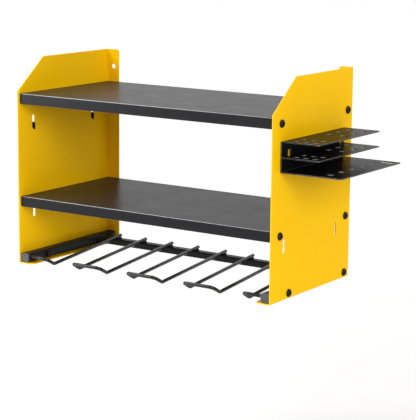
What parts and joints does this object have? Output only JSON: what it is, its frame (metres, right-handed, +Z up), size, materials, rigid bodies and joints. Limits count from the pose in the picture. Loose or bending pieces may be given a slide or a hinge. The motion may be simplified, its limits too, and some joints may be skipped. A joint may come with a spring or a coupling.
{
  "type": "wall mounted power tool organizer",
  "caption": "Wall rack for cordless tools: two shelves between folded side panels, a rod rack for hanging drills, and a lift-off tool rack and hook rail on the sides.",
  "frame": {"origin": "on the wall plane, midway between the outer faces of the side panels, at the height of the undersides of their bottom flanges", "axes": "+X to the right seen from the front, along the shelves; +Y from the front towards the wall; +Z up"},
  "size_m": [0.5584, 0.213, 0.2997],
  "materials": {
    "yellow_powder_coat": "glossy powder coat",
    "black_powder_coat": "satin powder coat",
    "black_rod_coat": "glossy coat on steel rod",
    "black_oxide_screw": "black oxide",
    "black_oxide_nut": "black oxide",
    "black_cap_plastic": "fine grained matte"
  },
  "bodies": {
    "organizer": {"left_side_panel": "yellow_powder_coat", "right_side_panel": "yellow_powder_coat", "middle_shelf": "black_powder_coat", "upper_shelf": "black_powder_coat", "left_rack_tube": "black_powder_coat", "right_rack_tube": "black_powder_coat", "rear_rack_tube": "black_powder_coat", "left_tube_cap": "black_cap_plastic", "right_tube_cap": "black_cap_plastic", "drill_finger_1": "black_rod_coat", "drill_finger_2": "black_rod_coat", "drill_finger_3": "black_rod_coat", "drill_finger_4": "black_rod_coat", "drill_finger_5": "black_rod_coat", "left_upper_front_screw": "black_oxide_screw", "left_upper_rear_screw": "black_oxide_screw", "left_middle_front_screw": "black_oxide_screw", "left_middle_rear_screw": "black_oxide_screw", "left_lower_front_screw": "black_oxide_screw", "left_lower_rear_screw": "black_oxide_screw", "right_upper_front_screw": "black_oxide_screw", "right_upper_rear_screw": "black_oxide_screw", "right_middle_front_screw": "black_oxide_screw", "right_middle_rear_screw": "black_oxide_screw", "right_lower_front_screw": "black_oxide_screw", "right_lower_rear_screw": "black_oxide_screw", "left_upper_front_nut": "black_oxide_nut", "left_upper_rear_nut": "black_oxide_nut", "left_middle_front_nut": "black_oxide_nut", "left_middle_rear_nut": "black_oxide_nut", "left_lower_front_nut": "black_oxide_nut", "left_lower_rear_nut": "black_oxide_nut", "right_upper_front_nut": "black_oxide_nut", "right_upper_rear_nut": "black_oxide_nut", "right_middle_front_nut": "black_oxide_nut", "right_middle_rear_nut": "black_oxide_nut", "right_lower_front_nut": "black_oxide_nut", "right_lower_rear_nut": "black_oxide_nut"},
    "tool_rack": {"tool_rack_frame": "black_powder_coat", "tool_rack_guide": "black_powder_coat"},
    "hook_rail": {"hook_rail_strip": "black_powder_coat", "rail_hook_1": "black_rod_coat", "rail_hook_2": "black_rod_coat", "rail_hook_3": "black_rod_coat", "rail_hook_4": "black_rod_coat"}
  },
  "joints": [
    {"name": "tool_rack_lift", "type": "slide", "parent": "organizer", "child": "tool_rack", "axis": [0, 0, 1], "range_m": [0, 0.01]},
    {"name": "hook_rail_lift", "type": "slide", "parent": "organizer", "child": "hook_rail", "axis": [0, 0, 1], "range_m": [0, 0.01]}
  ]
}
